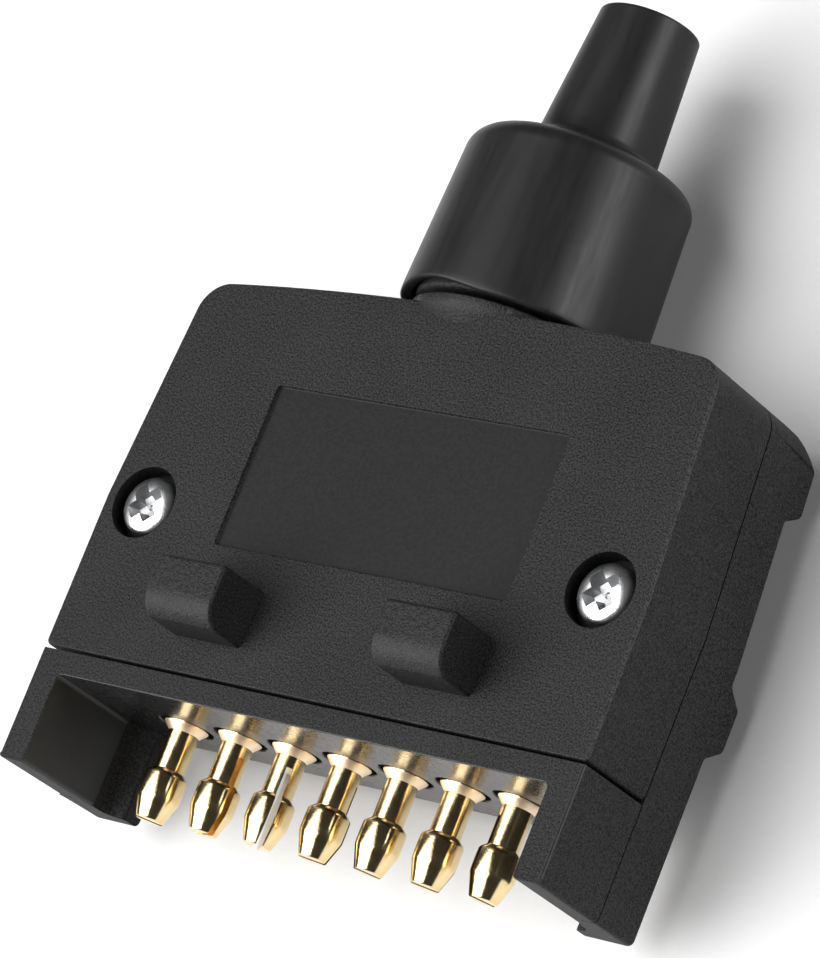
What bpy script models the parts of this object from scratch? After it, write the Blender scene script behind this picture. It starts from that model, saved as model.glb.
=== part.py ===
"""Seven-pin flat trailer plug: clamshell body, pin carrier, split pins and a rubber boot.

The plug lies on its back.  +Z points out of its front face, +Y towards the cable end and the
pins point towards -Y.  Shapes are drawn in the plug's own frame, whose zero is the middle of
the seam under the front cover, on the front face; the empty "plug" sets that frame down so
that the boot touches z = 0 and the whole plug is centred on the origin.
"""
import math

import bmesh
import bpy
from mathutils import Matrix, Vector

# Driving dimensions, in metres.
GAP = 0.0003                 # running gap between pieces that touch
WALL = 0.0022                # wall of the two shells
HALF_WIDTH = 0.0290          # body, from the wing tips up to the screws
HALF_WIDTH_TOP = 0.0275      # body at its cable end
KINK_Y = 0.0139              # where the sides start to close in
CORNER_Y = 0.0341            # cable-end corners
CROWN_Y = 0.0354             # middle of the bowed cable-end edge
CORNER_RADIUS = 0.0030
EDGE_RADIUS = 0.00035        # rounding round the front face
PARTING_Z = -0.0086          # joint between the front and the rear shell
BACK_Z = -0.01436            # back face between the rails
RAIL_Z = -0.01636            # crest of the rails
RAILS = ((0.0059, 0.0072, 0.0109, 0.0123), (0.0266, 0.0277, 0.0318, 0.0328))   # foot, crest, foot
RAIL_ROUND = 0.0006
LEAN = ((0.0338, -0.0140), (0.0360, PARTING_Z))   # leaning cable end of the rear shell, (y, z)
CHAMBER_TOP_Z = -0.0022      # inside of the front cover
CHAMBER_FLOOR_Z = -0.0124    # inside of the rear housing

LABEL = (0.0312, 0.01136, 0.0260, 0.0004)      # width, low y, high y, depth of the recess
SCREW_X = (-0.0247, 0.0241)
SCREW_Y = 0.01375
COUNTERBORE_RADIUS = 0.0033
COUNTERBORE_Z = -0.0019
BOSS_RADIUS = 0.0040
BOSS_STEP = 0.0002           # how far a boss stands back from the joint
SCREW_HOLE_RADIUS = 0.00175
SCREW_HOLE_END_Z = -0.0134

LATCH_X = 0.0122             # middle of each latch block
LATCH_WIDTH = 0.00725
LATCH_Y = (0.0030, 0.0082)
LATCH_HEIGHT = 0.00538
LATCH_NOSE_RADIUS = 0.00247
LATCH_NOSE_Y = 0.00533       # centre of the nose's curve

WING_TIP_Y = -0.01035
WING_ROUND = 0.0004          # upright edges of the wing tips
WING_INNER_X = 0.02625
MOUTH_Y = -0.00236           # end face that the pins stand out of
SKIN_X = 0.0273              # outside of the carrier's skin inside the rear wings
SKIN_Z = -0.0102             # how deep that skin reaches
LIP_X = 0.0244               # inner edge of the return lips on the rear wings
LEDGE_Z = -0.01225           # front of those lips
LEDGE_CURVE = 0.0014         # hollow where a wing runs into its lip
BLOCK = (0.0226, 0.0065, -0.0121, -0.0025)     # half width, end y, low z, high z
KEY_Y = (0.0024, 0.0038)     # rib of the rear housing that holds the carrier
KEY_HEIGHT = 0.0010
KEY_HALF = 0.0200

PIN_COUNT = 7
PIN_PITCH = 0.0060
PIN_Z = -0.0082
PIN_SLOT = 0.00055
PIN_SLOT_END_Y = -0.0040
PIN_SLOT_TURNS = (135, 75, 48, 120, 140, 128, 150)    # degrees, as the pins happen to sit
PIN_TIP_Y = -0.01085
PIN_TIP_RADIUS = 0.00122
BULB_RADIUS = 0.00186
BULB_Y = (-0.0090, -0.0068)
SHANK_RADIUS = 0.00133
SHANK_Y = (-0.0063, -0.0029)
FLANGE_RADIUS = 0.00195
FLANGE_Y = (-0.00235, -0.0021)
SOCKET_RADIUS = 0.0024
SOCKET_DEPTH = 0.0014
PIN_BODY_RADIUS = 0.0015
BARREL_Y = (0.0070, 0.0132)
BARREL_RADIUS = 0.0020
WIRE_BORE_RADIUS = 0.0013
WIRE_BORE_WALL = 0.0010
TERMINAL_Y = 0.0106
TERMINAL_RADIUS = 0.00105
TERMINAL_LENGTH = 0.0033
TERMINAL_CHAMFER = 0.0002
TERMINAL_SLOT = (0.0002, 0.0007)               # half width, depth

NECK_Z = -0.0080             # axis of the neck, the cable and the boot
NECK_ROOT_RADIUS = 0.0062
NECK_RADIUS = 0.0093
NECK_Y = (0.0331, 0.0365, 0.0412)              # root, collar, end of the collar
COLLAR_CHAMFER = 0.0004
CABLE_BORE_RADIUS = 0.0042
HUMP = ((0.0070, 0.0332), (0.0080, 0.0341), (0.0091, 0.0353), (0.0093, 0.0356), (0.0093, 0.0360))

TONGUE_RADIUS = 0.0080
TONGUE_HALF_WIDTH = 0.0072
TONGUE_END_Y = 0.0500
CLAMP_Y = (0.0432, 0.0482)
CLAMP_SPLIT_Z = -0.0086
CLAMP_HEIGHT = 0.0020
CLAMP_NIP = 0.0002           # how much smaller the clamp's bore is than the cable's trough
CLAMP_SCREW_X = 0.0051
CLAMP_SCREW_RADIUS = 0.0008
CLAMP_HOLE_END_Z = -0.0136
CLAMP_SEAT_RADIUS = 0.0019
ARCH_RADIUS = 0.0048         # outside of the arched middle of the clamp
THREAD_PITCH = 0.0018
THREAD_ROOT = 0.82           # of the shank's radius
POINT = 0.2                  # of the shank's radius
HEAD_SHARES = (0.94, 0.35, 0.45)               # foot's radius, height of the side, flat's radius
RECESS_SHARES = (0.6, 0.13, 0.6)               # arm, half width, depth
HOUSING_SCREW = (0.0112, 0.00145, 0.0027, 0.0015)          # length, shank, head, head height
CLAMP_SCREW = (0.0062, CLAMP_SCREW_RADIUS, 0.0016, 0.0011)
RECESS_TURN = 40             # degrees from the plug's width to a screw's cross recess
CABLE_RADIUS = 0.0035

BOOT_RADIUS = 0.01054        # at the lip
BOOT_Y = (0.0362, 0.0503, 0.0539, 0.0657)      # lip, shoulder, foot of the cone, end
BOOT_LIP = ((0.00054, 0.0), (0.00019, 0.0001), (0.0, 0.0005))    # inset, height over the lip
BOOT_FLARE = ((0.0060, 0.0531), (0.0053, 0.0534))                # (radius, y) of the cone's foot
BOOT_HOLLOW = ((0.0044, 0.0523), (0.0078, 0.0516), (0.0092, 0.0500), (0.0096, 0.0420))
CONE_END_ROUND = 0.0004
CONE_WALL = 0.0010
BORE_CHAMFER = 0.0001
SHOULDER_RADIUS = 0.00998
SHOULDER_ROUND = 0.0019
CONE_RADII = (0.00525, 0.00447, 0.0042)        # at its foot, near its end and at its end

FACE_HEIGHT = BOOT_RADIUS - NECK_Z             # front face above the surface that it lies on
SEAM_Y = -(PIN_TIP_Y + BOOT_Y[3]) / 2          # seam from the middle of the plug's length

ROUND_STEPS = 28
CORNER_STEPS = 4
PIECE_SHARP_ANGLE = math.radians(35)
OVERSHOOT = 0.001            # how far a cutter runs past the face that it opens
ROOT = 0.0005                # how far a raised shape reaches into the body that it joins


# ---- scene and materials -------------------------------------------------------------------

def clear_scene():
    for obj in list(bpy.data.objects):
        bpy.data.objects.remove(obj, do_unlink=True)


def make_material(name, colour, roughness, metallic=0.0):
    material = bpy.data.materials.new(name)
    material.use_nodes = True
    shader = material.node_tree.nodes["Principled BSDF"]
    shader.inputs["Base Color"].default_value = (*colour, 1.0)
    shader.inputs["Roughness"].default_value = roughness
    shader.inputs["Metallic"].default_value = metallic
    return material


def shell_plastic(name):
    return make_material(name, (0.022, 0.022, 0.023), 0.55)


def carrier_plastic(name):
    return make_material(name, (0.018, 0.018, 0.019), 0.40)


def boot_rubber(name):
    return make_material(name, (0.014, 0.014, 0.015), 0.45)


def pin_brass(name):
    return make_material(name, (0.83, 0.62, 0.27), 0.18, 1.0)


def zinc_steel(name):
    return make_material(name, (0.72, 0.73, 0.75), 0.25, 1.0)


# ---- mesh helpers --------------------------------------------------------------------------

def finish_object(name, mesh_data, material, origin=(0.0, 0.0, 0.0), cutter=False):
    """Turn a bmesh drawn in the plug's frame into an object whose origin is at `origin`."""
    bmesh.ops.translate(mesh_data, verts=mesh_data.verts, vec=-Vector(origin))
    bmesh.ops.recalc_face_normals(mesh_data, faces=mesh_data.faces)
    mesh = bpy.data.meshes.new(name)
    mesh_data.to_mesh(mesh)
    mesh_data.free()
    obj = bpy.data.objects.new(name, mesh)
    bpy.context.scene.collection.objects.link(obj)
    obj.parent = bpy.data.objects["plug"]
    obj.location = origin
    if cutter:
        obj.hide_render = True
        obj.display_type = "WIRE"
    else:
        mesh.materials.append(material(name))
        mesh.shade_smooth()
        mesh.set_sharp_from_angle(angle=PIECE_SHARP_ANGLE)
    return obj


def combine(target, operation, tools):
    """Add one exact Boolean modifier to `target` for each tool object."""
    for tool in tools:
        modifier = target.modifiers.new(f"{operation.lower()} {tool.name}", "BOOLEAN")
        modifier.operation = operation
        modifier.solver = "EXACT"
        modifier.object = tool


def cutter(name, mesh_data):
    return finish_object(f"cut_{name}", mesh_data, None, cutter=True)


def rounded(corners, steps=CORNER_STEPS):
    """Outline through (x, y, radius) corners, with an arc at each corner that has a radius."""
    outline = []
    for index, (x, y, radius) in enumerate(corners):
        here = Vector((x, y))
        if radius == 0.0:
            outline.append(here)
            continue
        before = (Vector(corners[index - 1][:2]) - here).normalized()
        after = (Vector(corners[(index + 1) % len(corners)][:2]) - here).normalized()
        half = before.angle(after) / 2
        centre = here + (before + after).normalized() * (radius / math.sin(half))
        start = here + before * (radius / math.tan(half)) - centre
        end = here + after * (radius / math.tan(half)) - centre
        turn = start.angle_signed(end)
        for step in range(steps + 1):
            outline.append(centre + Matrix.Rotation(-turn * step / steps, 2) @ start)
    return outline


def prism(outline, low, high, axis="Z"):
    """Closed prism of an outline: (x, y) between two z, (y, z) between two x or (x, z) between two y."""
    place = {"Z": lambda a, b, level: (a, b, level), "X": lambda a, b, level: (level, a, b),
             "Y": lambda a, b, level: (a, level, b)}[axis]
    mesh_data = bmesh.new()
    ends = [[mesh_data.verts.new(place(a, b, level)) for a, b in outline] for level in (low, high)]
    mesh_data.faces.new(ends[0][::-1])
    mesh_data.faces.new(ends[1])
    count = len(outline)
    for index in range(count):
        following = (index + 1) % count
        mesh_data.faces.new((ends[0][index], ends[0][following], ends[1][following], ends[1][index]))
    return mesh_data


def block(x_range, y_range, z_range):
    (x0, x1), (y0, y1), (z0, z1) = x_range, y_range, z_range
    return prism([(x0, y0), (x1, y0), (x1, y1), (x0, y1)], z0, z1)


def turned(profile, centre, axis, steps=ROUND_STEPS, ring_shaped=False):
    """Solid of revolution of a (radius, height) profile about an axis through `centre`.

    The first and last circles are closed with flat faces, or joined if it is ring-shaped.
    """
    mesh_data = bmesh.new()
    angles = [2 * math.pi * step / steps for step in range(steps)]
    rings = []
    for radius, height in profile:
        ring = [(radius * math.cos(a), radius * math.sin(a), height) for a in angles]
        rings.append([mesh_data.verts.new(point) for point in ring])
    pairs = list(zip(rings, rings[1:]))
    if ring_shaped:
        pairs.append((rings[-1], rings[0]))
    else:
        mesh_data.faces.new(rings[0][::-1])
        mesh_data.faces.new(rings[-1])
    for first, second in pairs:
        for step in range(steps):
            following = (step + 1) % steps
            mesh_data.faces.new((first[step], first[following], second[following], second[step]))
    turn = Matrix.Rotation(-math.pi / 2, 4, "X") if axis == "Y" else Matrix.Identity(4)
    bmesh.ops.transform(mesh_data, verts=mesh_data.verts, matrix=Matrix.Translation(centre) @ turn)
    return mesh_data


def along_y(outline, low_y, high_y):
    """Prism of an (x, height over the neck's axis) outline between two y."""
    mesh_data = prism(outline, -high_y, -low_y)
    turn = Matrix.Rotation(math.pi / 2, 4, "X")
    shift = Matrix.Translation((0.0, 0.0, NECK_Z))
    bmesh.ops.transform(mesh_data, verts=mesh_data.verts, matrix=shift @ turn)
    return mesh_data


def cylinder(radius, centre, axis, low, high, steps=ROUND_STEPS):
    return turned([(radius, low), (radius, high)], centre, axis, steps)


def round_level_edges(mesh_data, level, radius, keep=lambda point: True):
    """Round the edges of a prism that lie at one z and whose middle passes `keep`."""
    edges = []
    for edge in mesh_data.edges:
        middle = (edge.verts[0].co + edge.verts[1].co) / 2
        if all(abs(vert.co.z - level) < 1e-7 for vert in edge.verts) and keep(middle):
            edges.append(edge)
    bmesh.ops.bevel(mesh_data, geom=edges, offset=radius, segments=3, profile=0.5, affect="EDGES")


# ---- body outlines -------------------------------------------------------------------------

def crown_arc(inset=0.0, drop=0.0, pieces=8):
    """Points of the bowed cable-end edge between its two corners, right to left."""
    half_chord = HALF_WIDTH_TOP
    rise = CROWN_Y - CORNER_Y
    radius = (half_chord ** 2 + rise ** 2) / (2 * rise)
    points = []
    for index in range(1, pieces):
        x = (half_chord - inset) * (1 - 2 * index / pieces)
        points.append((x, CROWN_Y - inset - drop - radius + math.sqrt(radius ** 2 - x ** 2), 0.0))
    return points


def plan_outline(low_y, inset=0.0, drop=0.0, low_radius=0.0):
    """Outline of the body from above, counter-clockwise, from `low_y` to the cable end."""
    side = HALF_WIDTH - inset
    top = HALF_WIDTH_TOP - inset
    corner_y = CORNER_Y - inset - drop
    corner_radius = max(CORNER_RADIUS - inset, 0.0008)
    corners = [(-side, low_y, low_radius), (side, low_y, low_radius), (side, KINK_Y, 0.0)]
    corners.append((top, corner_y, corner_radius))
    corners += crown_arc(inset, drop)
    corners.append((-top, corner_y, corner_radius))
    corners.append((-side, KINK_Y, 0.0))
    return rounded(corners)


def screw_places():
    return tuple(zip(("left", "right"), SCREW_X))


# ---- front cover ---------------------------------------------------------------------------

def latch_block(x):
    """Raised block whose square face looks to the cable end and whose nose curves down."""
    low_y, high_y = LATCH_Y
    nose_z = LATCH_HEIGHT - LATCH_NOSE_RADIUS
    last = math.acos((low_y - LATCH_NOSE_Y) / LATCH_NOSE_RADIUS)
    outline = [(low_y, -ROOT), (high_y, -ROOT), (high_y, LATCH_HEIGHT)]
    steps = 6
    for step in range(steps + 1):
        angle = math.radians(90) * (1 - step / steps) + last * step / steps
        outline.append((LATCH_NOSE_Y + LATCH_NOSE_RADIUS * math.cos(angle),
                        nose_z + LATCH_NOSE_RADIUS * math.sin(angle)))
    return prism(outline, x - LATCH_WIDTH / 2, x + LATCH_WIDTH / 2, axis="X")


def neck_hump():
    """Half-round hood where the cover runs out over the root of the neck."""
    return turned(HUMP, (0.0, 0.0, NECK_Z), "Y", ROUND_STEPS)


def arch_prism(radius, low_y, high_y, steps=20):
    """Doorway shape along Y: half round above the neck's axis, straight sides down to the joint."""
    outline = [(radius, PARTING_Z - NECK_Z - ROOT)]
    for step in range(steps + 1):
        angle = math.pi * step / steps
        outline.append((radius * math.cos(angle), radius * math.sin(angle)))
    outline.append((-radius, outline[0][1]))
    return along_y(outline, low_y, high_y)


def front_cover():
    body = prism(plan_outline(0.0, low_radius=0.0006), PARTING_Z, 0.0)
    round_level_edges(body, 0.0, EDGE_RADIUS)
    cover = finish_object("front_cover", body, shell_plastic)
    hump = cutter("cover_hump", neck_hump())
    below = cutter("cover_below", block((-HALF_WIDTH, HALF_WIDTH), (KINK_Y, CROWN_Y + WALL),
                                        (-HALF_WIDTH, PARTING_Z)))
    combine(hump, "DIFFERENCE", [below])
    latches = [cutter(f"latch_{n}", latch_block(x)) for n, x in enumerate((-LATCH_X, LATCH_X))]
    combine(cover, "UNION", [hump] + latches)

    open_z = PARTING_Z - OVERSHOOT
    chamber = prism(plan_outline(WALL, WALL), open_z, CHAMBER_TOP_Z)
    door_half = BLOCK[0] + GAP
    door = block((-door_half, door_half), (-OVERSHOOT, 2 * WALL), (open_z, CHAMBER_TOP_Z))
    notch = arch_prism(NECK_ROOT_RADIUS + GAP, CORNER_Y - 2 * WALL, CROWN_Y + WALL)
    width, label_low, label_high, label_depth = LABEL
    label = block((-width / 2, width / 2), (label_low, label_high), (-label_depth, OVERSHOOT))
    cutters = [cutter("cover_chamber", chamber), cutter("cover_door", door)]
    cutters += [cutter("cover_notch", notch), cutter("label", label)]
    combine(cover, "DIFFERENCE", cutters)

    for side, x in screw_places():
        centre = (x, SCREW_Y, 0.0)
        boss = cylinder(BOSS_RADIUS, centre, "Z", PARTING_Z + BOSS_STEP, CHAMBER_TOP_Z + BOSS_STEP)
        combine(cover, "UNION", [cutter(f"cover_boss_{side}", boss)])
        bore = turned([(SCREW_HOLE_RADIUS, open_z), (SCREW_HOLE_RADIUS, COUNTERBORE_Z),
                       (COUNTERBORE_RADIUS, COUNTERBORE_Z), (COUNTERBORE_RADIUS, OVERSHOOT)],
                      centre, "Z")
        combine(cover, "DIFFERENCE", [cutter(f"cover_bore_{side}", bore)])
    return cover


# ---- rear housing --------------------------------------------------------------------------

def rear_side_profile():
    """Side view of the rear shell: two rails across a flat back and a leaning cable end."""
    corners = [(WING_TIP_Y, PARTING_Z - GAP, 0.0), (WING_TIP_Y, BACK_Z, RAIL_ROUND)]
    for foot_low, crest_low, crest_high, foot_high in RAILS:
        corners += [(foot_low, BACK_Z, RAIL_ROUND), (crest_low, RAIL_Z, RAIL_ROUND)]
        corners += [(crest_high, RAIL_Z, RAIL_ROUND), (foot_high, BACK_Z, RAIL_ROUND)]
    (low_y, low_z), (high_y, high_z) = LEAN
    lean = [(low_y, low_z, 0.0), (high_y, high_z - GAP, 0.0)]
    return rounded(corners[:-1] + lean, 3)


def mouth_outline(low_z, high_z, clear=0.0):
    """Cross-section of the opening between the wings, whose sides curve in to the return lips."""
    lip, wing = LIP_X - clear, WING_INNER_X - clear
    ledge = LEDGE_Z + clear
    right = [(lip, low_z, 0.0), (lip, ledge, GAP), (wing, ledge, LEDGE_CURVE), (wing, high_z, 0.0)]
    left = [(-x, z, radius) for x, z, radius in reversed(right)]
    return rounded(right + left)


def rear_neck():
    """Root and collar of the neck, in one turned shape."""
    root, collar, end = NECK_Y
    chamfer = COLLAR_CHAMFER
    profile = [(NECK_ROOT_RADIUS, root), (NECK_ROOT_RADIUS, collar)]
    profile += [(NECK_RADIUS - chamfer, collar), (NECK_RADIUS, collar + chamfer)]
    profile += [(NECK_RADIUS, end - chamfer), (NECK_RADIUS - chamfer, end)]
    return turned(profile, (0.0, 0.0, NECK_Z), "Y")


def rear_housing():
    outer = prism(plan_outline(WING_TIP_Y, low_radius=WING_ROUND), RAIL_Z - OVERSHOOT, PARTING_Z - GAP)
    housing = finish_object("rear_housing", outer, shell_plastic)
    side = prism(rear_side_profile(), -HALF_WIDTH - OVERSHOOT, HALF_WIDTH + OVERSHOOT, axis="X")
    combine(housing, "INTERSECT", [cutter("rear_sides", side)])

    above = PARTING_Z + OVERSHOOT
    beyond_y = WING_TIP_Y - OVERSHOOT
    throat_y = BLOCK[1] + GAP
    door_half = BLOCK[0] + GAP
    cuts = {
        "mouth": prism(mouth_outline(RAIL_Z - OVERSHOOT, above), beyond_y, -GAP / 2, "Y"),
        "skin": block((-SKIN_X - GAP, SKIN_X + GAP), (beyond_y, -GAP / 2), (SKIN_Z - GAP, above)),
        "door": block((-door_half, door_half), (-OVERSHOOT, throat_y), (CHAMBER_FLOOR_Z, above)),
        "chamber": prism(plan_outline(WALL, WALL, drop=RAIL_ROUND), CHAMBER_FLOOR_Z, above),
    }
    combine(housing, "DIFFERENCE", [cutter(f"rear_{n}", shape) for n, shape in cuts.items()])

    key = block((-KEY_HALF, KEY_HALF), KEY_Y, (CHAMBER_FLOOR_Z - ROOT, CHAMBER_FLOOR_Z + KEY_HEIGHT))
    additions = [cutter("rear_key", key)]
    for side_name, x in screw_places():
        boss = cylinder(BOSS_RADIUS, (x, SCREW_Y, 0.0), "Z", CHAMBER_FLOOR_Z - ROOT,
                        PARTING_Z - GAP - BOSS_STEP)
        additions.append(cutter(f"rear_boss_{side_name}", boss))
    additions.append(cutter("rear_neck", rear_neck()))
    additions.append(cutter("rear_tongue", rear_tongue()))
    combine(housing, "UNION", additions)

    bores = []
    clamp_y = sum(CLAMP_Y) / 2
    for side_name, x in screw_places():
        hole = cylinder(SCREW_HOLE_RADIUS, (x, SCREW_Y, 0.0), "Z", SCREW_HOLE_END_Z, 0.0, 24)
        bores.append(cutter(f"rear_bore_{side_name}", hole))
        centre = (math.copysign(CLAMP_SCREW_X, x), clamp_y, 0.0)
        hole = cylinder(CLAMP_SCREW_RADIUS + GAP, centre, "Z", CLAMP_HOLE_END_Z, 0.0, 16)
        bores.append(cutter(f"tongue_bore_{side_name}", hole))
    axis = (0.0, 0.0, NECK_Z)
    cable_way = cylinder(CABLE_BORE_RADIUS, axis, "Y", NECK_Y[0] - WALL, NECK_Y[2] - OVERSHOOT)
    bores.append(cutter("rear_cable_bore", cable_way))
    trough = cylinder(CABLE_RADIUS, axis, "Y", NECK_Y[1], TONGUE_END_Y + OVERSHOOT, 24)
    bores.append(cutter("tongue_trough", trough))
    combine(housing, "DIFFERENCE", bores)
    return housing


def rear_tongue():
    """Half-round saddle behind the neck that the cable lies in."""
    split = CLAMP_SPLIT_Z - GAP - NECK_Z
    outline = []
    steps = 12
    for step in range(steps + 1):
        angle = math.pi * (1 + step / steps)
        across = TONGUE_RADIUS * math.cos(angle)
        down = min(TONGUE_RADIUS * math.sin(angle), split)
        outline.append((max(-TONGUE_HALF_WIDTH, min(TONGUE_HALF_WIDTH, across)), down))
    return along_y(outline, NECK_Y[2] - OVERSHOOT, TONGUE_END_Y)


# ---- pin carrier ---------------------------------------------------------------------------

def pin_places():
    """Number and x of each pin, counted from the left wing."""
    first_x = -PIN_PITCH * (PIN_COUNT - 1) / 2
    return [(number + 1, first_x + PIN_PITCH * number) for number in range(PIN_COUNT)]


def wing_outline(outer_x):
    """Strip and two wings from above: a U whose legs are the wings."""
    corners = [(outer_x, -GAP, 0.0), (-outer_x, -GAP, 0.0), (-outer_x, WING_TIP_Y, WING_ROUND)]
    corners += [(-WING_INNER_X, WING_TIP_Y, WING_ROUND), (-WING_INNER_X, MOUTH_Y, 0.0)]
    corners += [(WING_INNER_X, MOUTH_Y, 0.0), (WING_INNER_X, WING_TIP_Y, WING_ROUND)]
    corners.append((outer_x, WING_TIP_Y, WING_ROUND))
    return rounded(corners, 2)


def carrier_front():
    """Front strip and the two wings, with the outer front edges rounded."""
    mesh_data = prism(wing_outline(HALF_WIDTH), PARTING_Z, 0.0)
    round_level_edges(mesh_data, 0.0, EDGE_RADIUS, lambda p: abs(p.x) > HALF_WIDTH - 1e-6)
    return mesh_data


def pin_carrier():
    carrier = finish_object("pin_carrier", carrier_front(), carrier_plastic)
    half, end_y, low_z, high_z = BLOCK
    seam = -GAP
    pieces = {
        "skin": prism(wing_outline(SKIN_X), SKIN_Z, PARTING_Z + ROOT),
        "end": prism(mouth_outline(BACK_Z, SKIN_Z + ROOT, GAP), MOUTH_Y, seam, "Y"),
        "block": block((-half, half), (seam - ROOT, end_y), (low_z, high_z)),
    }
    combine(carrier, "UNION", [cutter(f"carrier_{n}", shape) for n, shape in pieces.items()])
    slot_half = KEY_HALF + GAP
    key_slot = block((-slot_half, slot_half), (KEY_Y[0] - GAP, KEY_Y[1] + GAP),
                     (low_z - OVERSHOOT, CHAMBER_FLOOR_Z + KEY_HEIGHT + GAP))
    combine(carrier, "DIFFERENCE", [cutter("carrier_key_slot", key_slot)])
    for number, x in pin_places():
        socket_end_y = MOUTH_Y + SOCKET_DEPTH
        bore = turned([(SOCKET_RADIUS, MOUTH_Y - OVERSHOOT), (SOCKET_RADIUS, socket_end_y),
                       (PIN_BODY_RADIUS + GAP, socket_end_y),
                       (PIN_BODY_RADIUS + GAP, end_y + OVERSHOOT)], (x, 0.0, PIN_Z), "Y", 20)
        combine(carrier, "DIFFERENCE", [cutter(f"socket_{number}", bore)])
    return carrier


# ---- contacts and terminals ----------------------------------------------------------------

def pin_profile():
    """(radius, y) from the tip of the split bulb to the open end of the wire barrel."""
    start, end = BARREL_Y
    bulb_round = 0.0001
    profile = [(PIN_TIP_RADIUS, PIN_TIP_Y), (BULB_RADIUS - bulb_round, BULB_Y[0] - bulb_round)]
    profile += [(BULB_RADIUS, y) for y in BULB_Y]
    profile += [(SHANK_RADIUS, y) for y in SHANK_Y]
    profile += [(FLANGE_RADIUS, y) for y in FLANGE_Y]
    profile += [(PIN_BODY_RADIUS, FLANGE_Y[1] + 0.0001), (PIN_BODY_RADIUS, start)]
    profile += [(BARREL_RADIUS, start), (BARREL_RADIUS, end)]
    profile += [(WIRE_BORE_RADIUS, end), (WIRE_BORE_RADIUS, start + WIRE_BORE_WALL)]
    return profile


def contact_pin(number, x):
    centre = (x, 0.0, PIN_Z)
    pin = finish_object(f"contact_pin_{number}", turned(pin_profile(), centre, "Y", 16),
                        pin_brass, origin=centre)
    reach = BARREL_RADIUS + OVERSHOOT
    slot = block((-PIN_SLOT / 2, PIN_SLOT / 2), (PIN_TIP_Y - OVERSHOOT, PIN_SLOT_END_Y), (-reach, reach))
    turn = Matrix.Rotation(math.radians(PIN_SLOT_TURNS[number - 1]), 4, "Y")
    bmesh.ops.transform(slot, verts=slot.verts, matrix=Matrix.Translation(centre) @ turn)
    screw_hole = cylinder(TERMINAL_RADIUS + GAP, (x, TERMINAL_Y, 0.0), "Z", PIN_Z, PIN_Z + 2 * reach, 12)
    combine(pin, "DIFFERENCE", [cutter(f"pin_slot_{number}", slot),
                                cutter(f"pin_screw_hole_{number}", screw_hole)])
    return pin


def terminal_screw(number, x):
    low = PIN_Z + GAP
    high = low + TERMINAL_LENGTH
    radius = TERMINAL_RADIUS
    profile = [(radius - TERMINAL_CHAMFER, low), (radius, low + TERMINAL_CHAMFER)]
    profile += [(radius, high - TERMINAL_CHAMFER), (radius - TERMINAL_CHAMFER, high)]
    centre = (x, TERMINAL_Y, 0.0)
    screw = finish_object(f"terminal_screw_{number}", turned(profile, centre, "Z", 12),
                          zinc_steel, origin=centre)
    reach = 2 * radius
    half, depth = TERMINAL_SLOT
    slot = block((x - half, x + half), (TERMINAL_Y - reach, TERMINAL_Y + reach),
                 (high - depth, high + OVERSHOOT))
    combine(screw, "DIFFERENCE", [cutter(f"terminal_slot_{number}", slot)])
    return screw


# ---- screws --------------------------------------------------------------------------------

def screw_profile(seat_z, length, shank, head, head_height):
    """Pan-headed screw from its point up to the dome of its head; the thread is drawn as rings."""
    tip = seat_z - length
    root, pitch = shank * THREAD_ROOT, THREAD_PITCH
    profile = [(shank * POINT, tip)]
    level = tip + pitch
    while level < seat_z - pitch:
        profile += [(root, level), (shank, level + pitch / 2)]
        level += pitch
    profile += [(root, level), (root, seat_z)]
    edge, side, flat = HEAD_SHARES
    profile += [(head * edge, seat_z), (head, seat_z + head_height * (1 - edge))]
    steps = 3
    for step in range(steps + 1):
        angle = math.radians(90) * step / steps
        profile.append((head * (flat + (1 - flat) * math.cos(angle)),
                        seat_z + head_height * (side + (1 - side) * math.sin(angle))))
    return profile


def cross_recess(name, centre, top, head, head_height):
    """Two crossed slots in the head of a screw, set diagonally."""
    arm, half, depth = (share * size for share, size in zip(RECESS_SHARES, (head, head, head_height)))
    tools = []
    for index, degrees in enumerate((RECESS_TURN, RECESS_TURN + 90)):
        bar = block((-arm, arm), (-half, half), (top - depth, top + OVERSHOOT))
        turn = Matrix.Rotation(math.radians(degrees), 4, "Z")
        bmesh.ops.transform(bar, verts=bar.verts, matrix=Matrix.Translation(centre) @ turn)
        tools.append(cutter(f"{name}_recess_{index}", bar))
    return tools


def pan_screw(name, centre, seat_z, sizes, steps):
    """Screw of (length, shank radius, head radius, head height) sitting on `seat_z`."""
    _, _, head, head_height = sizes
    profile = screw_profile(seat_z, *sizes)
    screw = finish_object(name, turned(profile, centre, "Z", steps), zinc_steel, origin=centre)
    recess = cross_recess(name, centre, seat_z + head_height, head, head_height)
    combine(screw, "DIFFERENCE", recess)
    return screw


def housing_screws():
    for side, x in screw_places():
        pan_screw(f"housing_screw_{side}", (x, SCREW_Y, 0.0), COUNTERBORE_Z + GAP, HOUSING_SCREW, 18)


# ---- cable clamp ---------------------------------------------------------------------------

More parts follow.
